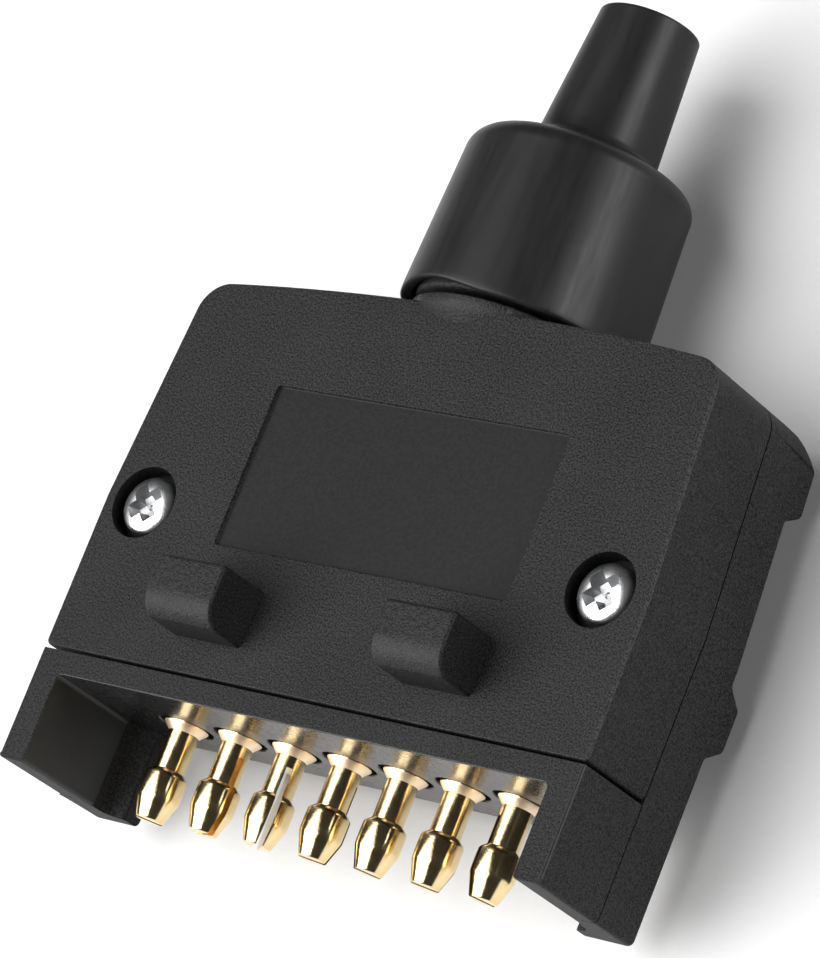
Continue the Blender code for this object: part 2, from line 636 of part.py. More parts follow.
def cable_clamp():
    """Bar with an arched middle that presses the cable into the saddle."""
    half, base, top = TONGUE_HALF_WIDTH, CLAMP_SPLIT_Z, CLAMP_SPLIT_Z + CLAMP_HEIGHT
    low_y, high_y = CLAMP_Y
    axis = (0.0, 0.0, NECK_Z)
    clamp = finish_object("cable_clamp", block((-half, half), CLAMP_Y, (base, top)), shell_plastic)
    arch = cutter("clamp_arch", cylinder(ARCH_RADIUS, axis, "Y", low_y, high_y, 32))
    past_ends = (low_y - OVERSHOOT, high_y + OVERSHOOT)
    floor = block((-half, half), past_ends, (base - 2 * ARCH_RADIUS, base))
    combine(arch, "DIFFERENCE", [cutter("clamp_floor", floor)])
    combine(clamp, "UNION", [arch])
    bore = cylinder(CABLE_RADIUS - CLAMP_NIP, axis, "Y", *past_ends, steps=24)
    tools = [cutter("clamp_bore", bore)]
    middle_y = (low_y + high_y) / 2
    places = (("left", -CLAMP_SCREW_X), ("right", CLAMP_SCREW_X))
    for side, x in places:
        centre = (x, middle_y, 0.0)
        hole = cylinder(CLAMP_SCREW_RADIUS + GAP, centre, "Z", base - OVERSHOOT, 0.0, 16)
        tools.append(cutter(f"clamp_hole_{side}", hole))
        seat = cylinder(CLAMP_SEAT_RADIUS, centre, "Z", top, 0.0, 20)
        tools.append(cutter(f"clamp_seat_{side}", seat))
    combine(clamp, "DIFFERENCE", tools)
    for side, x in places:
        pan_screw(f"clamp_screw_{side}", (x, middle_y, 0.0), top + GAP, CLAMP_SCREW, 12)


# ---- boot ----------------------------------------------------------------------------------

def boot_profile():
    """(radius, y) of the boot's skin, outside from the lip to the cone's end, then back inside."""
    lip_y, shoulder_y, cone_y, end_y = BOOT_Y
    foot, near_end, end = CONE_RADII
    outside = [(BOOT_RADIUS - inset, lip_y + rise) for inset, rise in BOOT_LIP]
    outside.append((SHOULDER_RADIUS, shoulder_y))
    for degrees in (17, 34, 51, 68):
        angle = math.radians(degrees)
        outside.append((SHOULDER_RADIUS - SHOULDER_ROUND * (1 - math.cos(angle)),
                        shoulder_y + SHOULDER_ROUND * math.sin(angle)))
    outside += list(BOOT_FLARE) + [(foot, cone_y), (near_end, end_y - CONE_END_ROUND), (end, end_y)]
    hollow_radius, _ = BOOT_HOLLOW[-1]
    inside = [(CABLE_RADIUS + BORE_CHAMFER, end_y), (CABLE_RADIUS, cone_y + CONE_WALL)]
    return outside + inside + list(BOOT_HOLLOW) + [(hollow_radius, lip_y + GAP)]


def rubber_boot():
    boot = turned(boot_profile(), (0.0, 0.0, NECK_Z), "Y", 36, ring_shaped=True)
    return finish_object("rubber_boot", boot, boot_rubber, origin=(0.0, 0.0, NECK_Z))


def main():
    clear_scene()
    plug = bpy.data.objects.new("plug", None)
    bpy.context.scene.collection.objects.link(plug)
    plug.location = (0.0, SEAM_Y, FACE_HEIGHT)
    front_cover()
    rear_housing()
    pin_carrier()
    for number, x in pin_places():
        contact_pin(number, x)
        terminal_screw(number, x)
    housing_screws()
    cable_clamp()
    rubber_boot()


main()
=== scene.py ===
"""Studio scene of a seven-pin flat trailer plug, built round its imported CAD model.

Every piece is drawn in millimetres in the plug's own frame, whose zero is the middle of the seam
under the front cover, on the front face: +Z out of the front face, +Y towards the cable end.
"""
import math

import bmesh
import bpy
from mathutils import Matrix, Vector


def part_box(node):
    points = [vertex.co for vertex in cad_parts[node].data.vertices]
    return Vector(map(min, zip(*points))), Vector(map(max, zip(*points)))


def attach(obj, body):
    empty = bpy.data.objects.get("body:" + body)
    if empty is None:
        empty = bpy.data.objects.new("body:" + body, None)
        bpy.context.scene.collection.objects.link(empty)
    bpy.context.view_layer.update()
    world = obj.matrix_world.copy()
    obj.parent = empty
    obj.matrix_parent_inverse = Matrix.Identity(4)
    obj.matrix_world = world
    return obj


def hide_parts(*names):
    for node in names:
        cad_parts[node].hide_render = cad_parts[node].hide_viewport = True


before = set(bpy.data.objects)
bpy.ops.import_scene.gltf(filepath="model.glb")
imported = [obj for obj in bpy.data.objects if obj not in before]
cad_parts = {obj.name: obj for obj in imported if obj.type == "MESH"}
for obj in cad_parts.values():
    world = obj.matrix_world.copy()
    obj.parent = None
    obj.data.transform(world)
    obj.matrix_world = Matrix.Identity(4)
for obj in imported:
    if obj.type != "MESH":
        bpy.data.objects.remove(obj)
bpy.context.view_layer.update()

MM = 0.001
ORIGIN = Vector((0.0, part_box("front_cover")[0].y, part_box("pin_carrier")[1].z))

# Body of the plug, in millimetres.
HALF_WIDTH = 29.0
HALF_WIDTH_TOP = 27.5                      # at the cable end
KINK_Y = 13.9                              # where the sides start to lean in
CORNER_Y = 34.1                            # cable end at its corners
CROWN_Y = 35.4                             # cable end in its middle
CORNER_RADIUS = 3.0
EDGE_RADIUS = 0.30
WALL = 2.2
PARTING_Z = -8.6
PARTING_GAP = 0.12                         # dark line between the two shells
GAP = 0.3                                  # clearance between fitted parts
BACK_Z = -14.36
RAIL_Z = -16.36
LOWER_RAIL = (5.9, 7.2, 10.9, 12.3)        # foot, crest, crest and foot along Y
UPPER_RAIL = (26.6, 27.7, 31.8)            # foot, crest and crest; it runs into the cable end
CABLE_END_FOOT = (33.8, -14.0)             # y and z where the cable end starts to lean
CABLE_END_TOP_Y = 36.0
CHAMBER_TOP_Z = -2.2
CHAMBER_FLOOR_Z = -12.4

LABEL = (31.2, 11.36, 26.0, 0.4)           # width, low y, high y, depth
SCREW_X = (-24.7, 24.1)
SCREW_Y = 13.75
COUNTERBORE_RADIUS = 3.25
COUNTERBORE_Z = -1.9
SCREW_SEAT_Z = COUNTERBORE_Z + GAP
SCREW_HEAD_RADIUS = 2.65
SCREW_HEAD_HEIGHT = 1.5
BOSS_RADIUS = 4.0
SCREW_HOLE_RADIUS = 1.75
SCREW_HOLE_END_Z = -13.4

LATCH_X = 12.2
LATCH_WIDTH = 7.25
LATCH_Y = (3.0, 8.2)
LATCH_HEIGHT = 5.38
LATCH_NOSE_RADIUS = 2.47
LATCH_NOSE_Y = LATCH_Y[0] + 2.33           # centre of the nose's curve
LATCH_HEEL_RADIUS = 0.35

WING_TIP_Y = -10.35
WING_INNER_X = 26.25
MOUTH_Y = -2.36
SKIN_X = 27.3                              # carrier's layer inside the shell's wings
SKIN_Z = -10.2
LIP_X = 24.4
LEDGE_Z = -12.25                           # front of the return lips
LEDGE_CURVE = 1.4
BLOCK = (22.6, 6.5, -12.1, -2.5)           # half width, end y, low z, high z
KEY_Y = (2.4, 3.8)
KEY_HALF_WIDTH = 20.0
KEY_HEIGHT = 1.0

PIN_COUNT = 7
PIN_PITCH = 6.0
PIN_Z = -8.2
PIN_SLOT = 0.55
PIN_SLOT_END_Y = -4.0
PIN_SLOT_TURNS = (135, 75, 48, 120, 140, 128, 150)     # degrees, from left to right
SOCKET_RADIUS = 2.4
SOCKET_DEPTH = 1.4
PIN_BODY_RADIUS = 1.5
PIN_TIP_Y = -10.85
BARREL_Y = (7.0, 13.2)
BARREL_RADIUS = 2.0
WIRE_BORE_RADIUS = 1.3
TERMINAL_Y = 10.6
TERMINAL_RADIUS = 1.05
TERMINAL_Z = (PIN_Z + 0.3, PIN_Z + 3.6)    # point and top of a terminal screw

NECK_Z = -8.0
NECK_ROOT_RADIUS = 6.2
NECK_RADIUS = 9.3
NECK_Y = (33.1, 36.5, 41.2)                # root, collar, end of the collar
CABLE_BORE_RADIUS = 4.2
HUMP_END_Y = 36.0
TONGUE_RADIUS = 8.0
TONGUE_HALF_WIDTH = 7.2
TONGUE_END_Y = 50.0
CLAMP_Y = (43.2, 48.2)
CLAMP_MIDDLE_Y = sum(CLAMP_Y) / 2
CLAMP_SPLIT_Z = -8.6
CLAMP_HEIGHT = 2.0
CLAMP_ARCH_RADIUS = 4.8
CLAMP_SCREW_X = 5.1
CLAMP_SCREW_RADIUS = 0.8
CLAMP_HOLE_RADIUS = CLAMP_SCREW_RADIUS + GAP
CLAMP_HOLE_END_Z = -13.6
CABLE_RADIUS = 3.5

BOOT_RADIUS = 10.54
BOOT_SHOULDER_RADIUS = 9.98
BOOT_Y = (36.2, 50.3, 53.9, 65.7)          # lip, shoulder, foot of the cone, end
BOOT_HOLLOW_RADIUS = 9.6
LIP_HEIGHT = 0.7
SHOULDER_ROUND = 1.9
CONE_FOOT_RADIUS = 5.28
CONE_TAPER = 0.81                          # what the cone's radius loses up to its end
CONE_END_ROUND = 0.25
LIP_LIFT = 0.6                             # how far the lip is pulled up over the hump
LIP_LIFT_MIDDLE = 108.0                    # degrees round the boot, from +X towards +Z
LIP_LIFT_HALF_WIDTH = 38.0                 # degrees to either side
LIP_LIFT_REACH = 11.0                      # height over which the pull fades out
CONE_OFFSET = 0.55                         # shift of the cone's foot towards +X
CONE_LEAN = 0.03                           # further shift for each millimetre of the cone

# Studio, with lengths in metres and angles in degrees.
FLOOR_HALF_WIDTH = 1.5
FLOOR_CORNER = 0.2
FLOOR_THICKNESS = 0.004
WORLD_LEVEL = 0.044
LIGHT_AIM = Vector((0.0, 0.0, 0.01))
CAMERA_AIM = Vector((0.00402, -0.00840, 0.02126))
CAMERA_DISTANCE = 0.4397
CAMERA_AZIMUTH = 69.3
CAMERA_ELEVATION = 47.4
CAMERA_ROLL = -52.6
SENSOR_WIDTH = 36.0                        # in millimetres, like the lens
LENS = 240.2

SMOOTH_ANGLE = math.radians(38)            # edges up to this angle are shaded smooth
SOFTEN_ANGLE = math.radians(30)            # edges over this angle may be rounded
ROUND_STEPS = 72
CORNER_STEPS = 10


# ---- outlines and solids -------------------------------------------------------------------

def rounded(corners, steps=CORNER_STEPS):
    """Outline through (x, y, radius) corners, with an arc at each corner that has a radius."""
    outline = []
    for index, (x, y, radius) in enumerate(corners):
        here = Vector((x, y))
        if radius == 0.0:
            outline.append(here)
            continue
        before = (Vector(corners[index - 1][:2]) - here).normalized()
        after = (Vector(corners[(index + 1) % len(corners)][:2]) - here).normalized()
        half = before.angle(after) / 2
        centre = here + (before + after).normalized() * (radius / math.sin(half))
        start = here + before * (radius / math.tan(half)) - centre
        end = here + after * (radius / math.tan(half)) - centre
        turn = start.angle_signed(end)
        for step in range(steps + 1):
            outline.append(centre + Matrix.Rotation(-turn * step / steps, 2) @ start)
    return outline


def loft(rings, ring_shaped=False):
    """Closed skin over rings of equal length; the end rings are capped, or joined up."""
    solid = bmesh.new()
    loops = [[solid.verts.new(point) for point in ring] for ring in rings]
    pairs = list(zip(loops, loops[1:]))
    if ring_shaped:
        pairs.append((loops[-1], loops[0]))
    else:
        solid.faces.new(loops[0][::-1])
        solid.faces.new(loops[-1])
    count = len(loops[0])
    for first, second in pairs:
        for index in range(count):
            following = (index + 1) % count
            solid.faces.new((first[index], first[following], second[following], second[index]))
    bmesh.ops.recalc_face_normals(solid, faces=solid.faces)
    return solid


def moved(solid, matrix):
    """The solid itself, after its points have been moved."""
    bmesh.ops.transform(solid, verts=solid.verts, matrix=matrix)
    return solid


def prism(outline, low, high, axis="Z"):
    """Prism of (x, y) points between two z, (y, z) between two x, or (x, z) between two y."""
    place = {"Z": lambda a, b, level: (a, b, level), "X": lambda a, b, level: (level, a, b),
             "Y": lambda a, b, level: (a, level, b)}[axis]
    return loft([[place(a, b, level) for a, b in outline] for level in (low, high)])


def block(x_range, y_range, z_range):
    (x0, x1), (y0, y1) = x_range, y_range
    return prism([(x0, y0), (x1, y0), (x1, y1), (x0, y1)], *z_range)


def turned(profile, centre, axis, steps=ROUND_STEPS, ring_shaped=False):
    """Solid of revolution of a (radius, height) profile about an axis through `centre`."""
    angles = [2 * math.pi * step / steps for step in range(steps)]
    rings = [[(r * math.cos(a), r * math.sin(a), h) for a in angles] for r, h in profile]
    turn = Matrix.Rotation(-math.pi / 2, 4, "X") if axis == "Y" else Matrix.Identity(4)
    return moved(loft(rings, ring_shaped), Matrix.Translation(centre) @ turn)


def cylinder(radius, centre, axis, low, high, steps=ROUND_STEPS):
    return turned([(radius, low), (radius, high)], centre, axis, steps)


def along_y(outline, low_y, high_y):
    """Prism of an (x, height over the neck's axis) outline between two y."""
    turn = Matrix.Translation((0.0, 0.0, NECK_Z)) @ Matrix.Rotation(math.pi / 2, 4, "X")
    return moved(prism(outline, -high_y, -low_y), turn)


def arc(centre_a, centre_b, radius, start, end, steps):
    """Arc of (a, b) points about a centre, between two angles in degrees."""
    points = []
    for step in range(steps + 1):
        angle = math.radians(start + (end - start) * step / steps)
        points.append((centre_a + radius * math.cos(angle), centre_b + radius * math.sin(angle)))
    return points


def soften(solid, radius, segments, keep):
    """Round the sharp edges whose middle passes `keep`."""
    edges = []
    for edge in solid.edges:
        if not edge.is_manifold or edge.calc_face_angle() < SOFTEN_ANGLE:
            continue
        if keep((edge.verts[0].co + edge.verts[1].co) / 2):
            edges.append(edge)
    bmesh.ops.bevel(solid, geom=edges, offset=radius, segments=segments, profile=0.5,
                    affect="EDGES", clamp_overlap=False)
    return solid


def temporary(solid):
    """Scene object made from a solid, which is freed: for Booleans, and for the floor."""
    mesh = bpy.data.meshes.new("temporary")
    solid.to_mesh(mesh)
    solid.free()
    obj = bpy.data.objects.new("temporary", mesh)
    bpy.context.scene.collection.objects.link(obj)
    return obj


def shaped(start, steps):
    """The solid `start` after exact Booleans, each step being (operation, solid)."""
    target = temporary(start)
    tools = []
    for operation, solid in steps:
        tool = temporary(solid)
        tools.append(tool)
        modifier = target.modifiers.new(operation, "BOOLEAN")
        modifier.operation = operation
        modifier.solver = "EXACT"
        modifier.object = tool
    depsgraph = bpy.context.evaluated_depsgraph_get()
    mesh = bpy.data.meshes.new_from_object(target.evaluated_get(depsgraph))
    result = bmesh.new()
    result.from_mesh(mesh)
    for obj in [target] + tools:
        bpy.data.meshes.remove(obj.data)
    bpy.data.meshes.remove(mesh)
    return result


def cut(start, solids):
    return shaped(start, [("DIFFERENCE", solid) for solid in solids])


def joined(start, solids):
    return shaped(start, [("UNION", solid) for solid in solids])


# ---- materials -----------------------------------------------------------------------------

class Nodes:
    """Short way to wire up one node material in millimetre object coordinates."""

    def __init__(self, name):
        self.material = bpy.data.materials.new(name)
        self.material.use_nodes = True
        self.tree = self.material.node_tree
        self.shader = self.tree.nodes["Principled BSDF"]
        coordinates = self.tree.nodes.new("ShaderNodeTexCoord")
        scale = self.tree.nodes.new("ShaderNodeMapping")
        scale.inputs["Scale"].default_value = (1 / MM, 1 / MM, 1 / MM)
        self.tree.links.new(coordinates.outputs["Object"], scale.inputs["Vector"])
        self.place = scale.outputs["Vector"]

    def link(self, value, socket):
        self.tree.links.new(value, socket)

    def noise(self, scale, detail=2.0, roughness=0.5, stretch=None):
        place = self.place
        if stretch:
            mapping = self.tree.nodes.new("ShaderNodeMapping")
            mapping.inputs["Scale"].default_value = stretch
            self.link(place, mapping.inputs["Vector"])
            place = mapping.outputs["Vector"]
        node = self.tree.nodes.new("ShaderNodeTexNoise")
        node.inputs["Scale"].default_value = scale
        node.inputs["Detail"].default_value = detail
        node.inputs["Roughness"].default_value = roughness
        self.link(place, node.inputs["Vector"])
        return node.outputs["Fac"]

    def cells(self, scale):
        node = self.tree.nodes.new("ShaderNodeTexVoronoi")
        node.inputs["Scale"].default_value = scale
        self.link(self.place, node.inputs["Vector"])
        return node.outputs["Distance"]

    def spread(self, value, low, high, from_low=0.3, from_high=0.7):
        """Stretch the middle of a noise's range over `low` to `high`."""
        node = self.tree.nodes.new("ShaderNodeMapRange")
        node.inputs["From Min"].default_value = from_low
        node.inputs["From Max"].default_value = from_high
        node.inputs["To Min"].default_value = low
        node.inputs["To Max"].default_value = high
        self.link(value, node.inputs["Value"])
        return node.outputs["Result"]

    def sum(self, first, second):
        node = self.tree.nodes.new("ShaderNodeMath")
        node.operation = "ADD"
        for socket, value in zip(node.inputs, (first, second)):
            if isinstance(value, float):
                socket.default_value = value
            else:
                self.link(value, socket)
        return node.outputs["Value"]

    def blend(self, factor, first, second):
        node = self.tree.nodes.new("ShaderNodeMix")
        node.data_type = "RGBA"
        node.inputs["A"].default_value = (*first, 1.0)
        node.inputs["B"].default_value = (*second, 1.0)
        self.link(factor, node.inputs["Factor"])
        return node.outputs["Result"]

    def bump(self, height, depth_mm, under=None):
        node = self.tree.nodes.new("ShaderNodeBump")
        node.inputs["Distance"].default_value = depth_mm * MM
        node.inputs["Strength"].default_value = 1.0
        self.link(height, node.inputs["Height"])
        if under:
            self.link(under, node.inputs["Normal"])
        return node.outputs["Normal"]

    def set(self, socket, value):
        """Give a shader input a constant, or the output of a node."""
        if isinstance(value, (float, tuple)):
            self.shader.inputs[socket].default_value = value
        else:
            self.link(value, self.shader.inputs[socket])


def moulded_plastic(name, dark, light, roughness, specular, grain_mm, grain_depth, ripple_depth=0.0):
    """Black moulded plastic: a pitted texture in the bump, whose sparkle is painted into the colour as
    light and dark specks (painted glints), and faint mottling.

    `ripple_depth` adds a slow waviness that breaks up the sheen of the smoother faces.
    """
    nodes = Nodes(name)
    grain_and_glints = nodes.noise(1.0 / grain_mm, 3.0, 0.6)
    pits = nodes.cells(0.7 / grain_mm)
    relief = nodes.sum(grain_and_glints, nodes.spread(pits, 0.0, 0.35, 0.0, 0.6))
    mottle = nodes.noise(0.12, 3.0, 0.55)
    # Colour: the light and dark specks are painted glints, the sparkle of the pitted surface put into the
    # colour; the slow mottle is a random tone.
    shade = nodes.sum(nodes.spread(grain_and_glints, 0.0, 0.85, 0.40, 0.60), nodes.spread(mottle, 0.0, 0.15))
    nodes.set("Base Color", nodes.blend(shade, dark, light))
    worn = nodes.sum(nodes.spread(mottle, -0.04, 0.04), nodes.spread(grain_and_glints, -0.05, 0.05))
    nodes.set("Roughness", nodes.sum(worn, roughness))
    nodes.set("Specular IOR Level", specular)
    fine = nodes.bump(relief, grain_depth)
    if ripple_depth:
        fine = nodes.bump(nodes.noise(0.35, 1.0), ripple_depth, under=fine)
    nodes.set("Normal", fine)
    return nodes.material


def rubber(name):
    """Satin black rubber with faint drag marks along the boot and a soft waviness."""
    nodes = Nodes(name)
    drag = nodes.noise(1.2, 3.0, 0.6, (1.0, 0.12, 1.0))
    dust = nodes.noise(9.0, 2.0, 0.6)
    shade = nodes.sum(nodes.spread(drag, 0.0, 0.6), nodes.spread(dust, 0.0, 0.4))
    nodes.set("Base Color", nodes.blend(shade, (0.009, 0.009, 0.0092), (0.014, 0.014, 0.0143)))
    nodes.set("Roughness", nodes.sum(nodes.spread(drag, -0.05, 0.05), 0.40))
    nodes.set("Specular IOR Level", 0.19)
    soft = nodes.bump(nodes.noise(0.22, 2.0, 0.5, (1.0, 0.35, 1.0)), 0.10)
    nodes.set("Normal", nodes.bump(dust, 0.0025, under=soft))
    return nodes.material


def plated(name, dark, light, roughness, mark_scale, mark_depth, stretch=None):
    """Plated metal: lathe or rolling marks, slight tarnish and uneven gloss."""
    nodes = Nodes(name)
    marks = nodes.noise(mark_scale, 3.0, 0.6, stretch)
    tarnish = nodes.noise(0.9, 3.0, 0.6)
    nodes.set("Base Color", nodes.blend(nodes.spread(tarnish, 0.0, 1.0), dark, light))
    nodes.set("Metallic", 1.0)
    nodes.set("Roughness", nodes.sum(nodes.spread(tarnish, -0.03, 0.05), roughness))
    nodes.set("Normal", nodes.bump(marks, mark_depth))
    return nodes.material


def floor_paper(name):
    """Matt pale paper with a faint fibre."""
    nodes = Nodes(name)
    fibre = nodes.noise(1.5, 4.0, 0.6)
    nodes.set("Base Color", nodes.blend(fibre, (0.61, 0.61, 0.61), (0.64, 0.64, 0.64)))
    nodes.set("Roughness", 0.9)
    return nodes.material


SHELL = moulded_plastic("shell_plastic", dark=(0.001, 0.001, 0.00105), light=(0.030, 0.030, 0.0306),
                        roughness=0.55, specular=0.12, grain_mm=0.165, grain_depth=0.05)
LABEL_FLOOR = moulded_plastic("label_floor_plastic", dark=(0.0085, 0.0085, 0.0087),
                              light=(0.0130, 0.0130, 0.0133), roughness=0.50, specular=0.12,
                              grain_mm=0.30, grain_depth=0.008)
LATCH = moulded_plastic("latch_plastic", dark=(0.001, 0.001, 0.00105), light=(0.020, 0.020, 0.0204),
                        roughness=0.48, specular=0.18, grain_mm=0.165, grain_depth=0.05)
# Lighter plastic on the rounding round the front face: a painted highlight line along the edge.
EDGE_HIGHLIGHT = moulded_plastic("edge_highlight_plastic", dark=(0.004, 0.004, 0.0041), light=(0.040, 0.040, 0.0408),
                       roughness=0.50, specular=0.22, grain_mm=0.165, grain_depth=0.05)
# Near-black plastic on the counterbore walls: painted shade for the deep shadow round the screw heads.
BORE_SHADE = moulded_plastic("bore_shade_plastic", dark=(0.003, 0.003, 0.0031), light=(0.005, 0.005, 0.0051),
                       roughness=0.50, specular=0.10, grain_mm=0.30, grain_depth=0.01)
SATIN = moulded_plastic("satin_plastic", dark=(0.012, 0.012, 0.0123), light=(0.016, 0.016, 0.0164),
                        roughness=0.38, specular=0.28, grain_mm=0.45, grain_depth=0.004,
                        ripple_depth=0.03)
GLOSS = moulded_plastic("mouth_plastic", dark=(0.010, 0.010, 0.0102), light=(0.014, 0.014, 0.0143),
                        roughness=0.24, specular=0.35, grain_mm=0.45, grain_depth=0.002,
                        ripple_depth=0.02)
RUBBER = rubber("boot_rubber")
LATHE_MARKS = (0.3, 6.0, 0.3)              # stretch of the marks: rings round a pin along Y
GOLD = plated("pin_gold", dark=(0.76, 0.56, 0.28), light=(0.88, 0.71, 0.42), roughness=0.13,
              mark_scale=3.0, mark_depth=0.009, stretch=LATHE_MARKS)
# Lighter, pinker gold on the front of each flange: a painted highlight where that flat face catches the
# light; its rougher gloss makes it matt.
GOLD_SEAT_HIGHLIGHT = plated("pin_gold_seat_highlight", dark=(0.90, 0.68, 0.46), light=(0.97, 0.80, 0.60), roughness=0.42,
                   mark_scale=4.0, mark_depth=0.004, stretch=LATHE_MARKS)
ZINC = plated("zinc_plate", dark=(0.80, 0.81, 0.82), light=(0.90, 0.91, 0.92), roughness=0.29,
              mark_scale=5.0, mark_depth=0.008)
# Darker zinc in the screws' cross recesses: painted shade for the shadow inside the cross.
ZINC_RECESS_SHADE = plated("zinc_recess_shade", dark=(0.38, 0.385, 0.39), light=(0.55, 0.555, 0.56), roughness=0.32,
                     mark_scale=3.0, mark_depth=0.02)
TERMINAL = plated("terminal_steel", dark=(0.55, 0.55, 0.56), light=(0.70, 0.70, 0.71), roughness=0.30,
                  mark_scale=6.0, mark_depth=0.006)


# ---- finishing a piece ---------------------------------------------------------------------

def piece(name, solid, centre, materials, body, node):
    """Make the object, in metres, in the row frame; it stands for one CAD node.

    `materials` is a list of (material, test): a face takes the last material whose test its
    centre and normal pass.
    """
    bmesh.ops.remove_doubles(solid, verts=solid.verts, dist=1e-4)
    solid.normal_update()
    for face in solid.faces:
        middle = face.calc_center_median()
        for index, (_, test) in enumerate(materials):
            if test(middle, face.normal):
                face.material_index = index
        face.smooth = True
    for edge in solid.edges:
        if edge.is_manifold:
            edge.smooth = edge.calc_face_angle() < SMOOTH_ANGLE
    moved(solid, Matrix.Scale(MM, 4) @ Matrix.Translation(-Vector(centre)))
    mesh = bpy.data.meshes.new(name)
    solid.to_mesh(mesh)
    solid.free()
    for material, _ in materials:
        mesh.materials.append(material)
    obj = bpy.data.objects.new(name, mesh)
    bpy.context.scene.collection.objects.link(obj)
    obj.location = ORIGIN + Vector(centre) * MM
    weighted = obj.modifiers.new("weighted normals", "WEIGHTED_NORMAL")
    weighted.keep_sharp = True
    weighted.weight = 80
    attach(obj, body)
    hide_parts(node)
    return obj


def everywhere(middle, normal):
    return True


# ---- body outline --------------------------------------------------------------------------

def plan_outline(low_y, inset=0.0, drop=0.0, low_share=1.0):
    """Outline of the body from above, from `low_y` to the cable end, moved in by `inset`.

    The low end moves in by `low_share` of the inset, and the cable end by `drop` besides.
    """
    low_radius = 0.5
    side = HALF_WIDTH - inset
    top = HALF_WIDTH_TOP - inset
    low = low_y + inset * low_share
    corner_y = CORNER_Y - inset - drop
    corner_radius = max(CORNER_RADIUS - inset, 0.8)
    corners = [(-side, low, low_radius), (side, low, low_radius), (side, KINK_Y, 0.0)]
    corners.append((top, corner_y, corner_radius))
    rise = CROWN_Y - CORNER_Y
    bow_radius = (HALF_WIDTH_TOP ** 2 + rise ** 2) / (2 * rise)
    spans = 20
    reach = HALF_WIDTH_TOP - CORNER_RADIUS - 1.0
    for index in range(spans + 1):
        x = reach * (1 - 2 * index / spans)
        bow = CROWN_Y - inset - drop - bow_radius + math.sqrt(bow_radius ** 2 - x ** 2)
        corners.append((x, bow, 0.0))
    corners += [(-top, corner_y, corner_radius), (-side, KINK_Y, 0.0)]
    return rounded(corners)


def rounded_slab(outline_at, low, high, low_radius, high_radius):
    """Slab whose level edges are rounded; outline_at(inset) gives its outline."""
    steps = 7
    angles = [math.pi / 2 * step / steps for step in range(steps + 1)]
    levels = [(low_radius * (1 - math.sin(a)), low + low_radius * (1 - math.cos(a))) for a in angles]
    levels += [(high_radius * (1 - math.cos(a)), high - high_radius * (1 - math.sin(a))) for a in angles]
    return loft([[(x, y, z) for x, y in outline_at(inset)] for inset, z in levels])


def screw_places():
    """(side, x) of the two cover screws."""
    return tuple(zip(("left", "right"), SCREW_X))


def clamp_screw_places():
    """(side, x) of the two clamp screws."""
    return tuple((side, math.copysign(CLAMP_SCREW_X, x)) for side, x in screw_places())


def near_cover_screw(point, reach):
    return any(math.dist(point.xy, (x, SCREW_Y)) < reach for _, x in screw_places())


# ---- front cover ---------------------------------------------------------------------------

def latch_block(x):
    """Raised block whose square face looks to the cable end and whose nose curves down."""
    low_y, high_y = LATCH_Y
    top, heel, nose = LATCH_HEIGHT, LATCH_HEEL_RADIUS, LATCH_NOSE_RADIUS
    outline = [(low_y, -1.0), (high_y, -1.0), (high_y, top - heel)]
    outline += arc(high_y - heel, top - heel, heel, 0, 90, 4)[1:]
    outline += arc(LATCH_NOSE_Y, top - nose, nose, 90, 160, 12)
    solid = prism(outline, x - LATCH_WIDTH / 2, x + LATCH_WIDTH / 2, axis="X")
    side = LATCH_WIDTH / 2 - 0.001
    return soften(solid, 0.28, 4, lambda p: abs(p.x - x) > side and p.z > -0.9)


def neck_hump():
    """Half-round hood where the cover runs out over the root of the neck."""
    profile = [(6.8, 32.4), (7.6, 33.5)]
    profile += [(8.0, 33.9), (8.5, 34.35), (8.9, 34.75), (9.15, 35.1), (NECK_RADIUS, 35.5)]
    profile += [(NECK_RADIUS, HUMP_END_Y - 0.15), (NECK_RADIUS - 0.15, HUMP_END_Y)]
    return turned(profile, (0.0, 0.0, NECK_Z), "Y", 96)


def arch_prism(radius, low_y, high_y):
    """Doorway shape along Y: half round above the neck's axis, straight sides to the joint."""
    foot = PARTING_Z - NECK_Z - 1.0
    outline = [(radius, foot)] + arc(0.0, 0.0, radius, 0, 180, 40) + [(-radius, foot)]
    return along_y(outline, low_y, high_y)


def label_recess():
    """Shallow tray with crisp corners, slightly flared at its mouth."""
    width, low, high, depth = LABEL
    middle = (low + high) / 2

    def outline_at(grow):
        half, reach = width / 2 + grow, (high - low) / 2 + grow
        radius = 0.35 + grow
        corners = [(-half, middle - reach, radius), (half, middle - reach, radius),
                   (half, middle + reach, radius), (-half, middle + reach, radius)]
        return rounded(corners, 5)

    levels = [(-0.12, -depth), (-0.04, -depth + 0.04), (0.0, -depth + 0.12), (0.0, -0.10)]
    levels += [(0.03, -0.03), (0.10, 0.0), (0.10, 1.0)]
    return loft([[(x, y, z) for x, y in outline_at(grow)] for grow, z in levels])


def screw_bore(x):
    """Clearance hole and counterbore of a cover screw, with an eased mouth."""
    profile = [(SCREW_HOLE_RADIUS, -10.0), (SCREW_HOLE_RADIUS, COUNTERBORE_Z)]
    profile += [(COUNTERBORE_RADIUS, COUNTERBORE_Z), (COUNTERBORE_RADIUS, -0.10)]
    profile += [(COUNTERBORE_RADIUS + 0.02, -0.03), (COUNTERBORE_RADIUS + 0.07, 0.0),
                (COUNTERBORE_RADIUS + 0.07, 1.0)]
    return turned(profile, (x, SCREW_Y, 0.0), "Z")


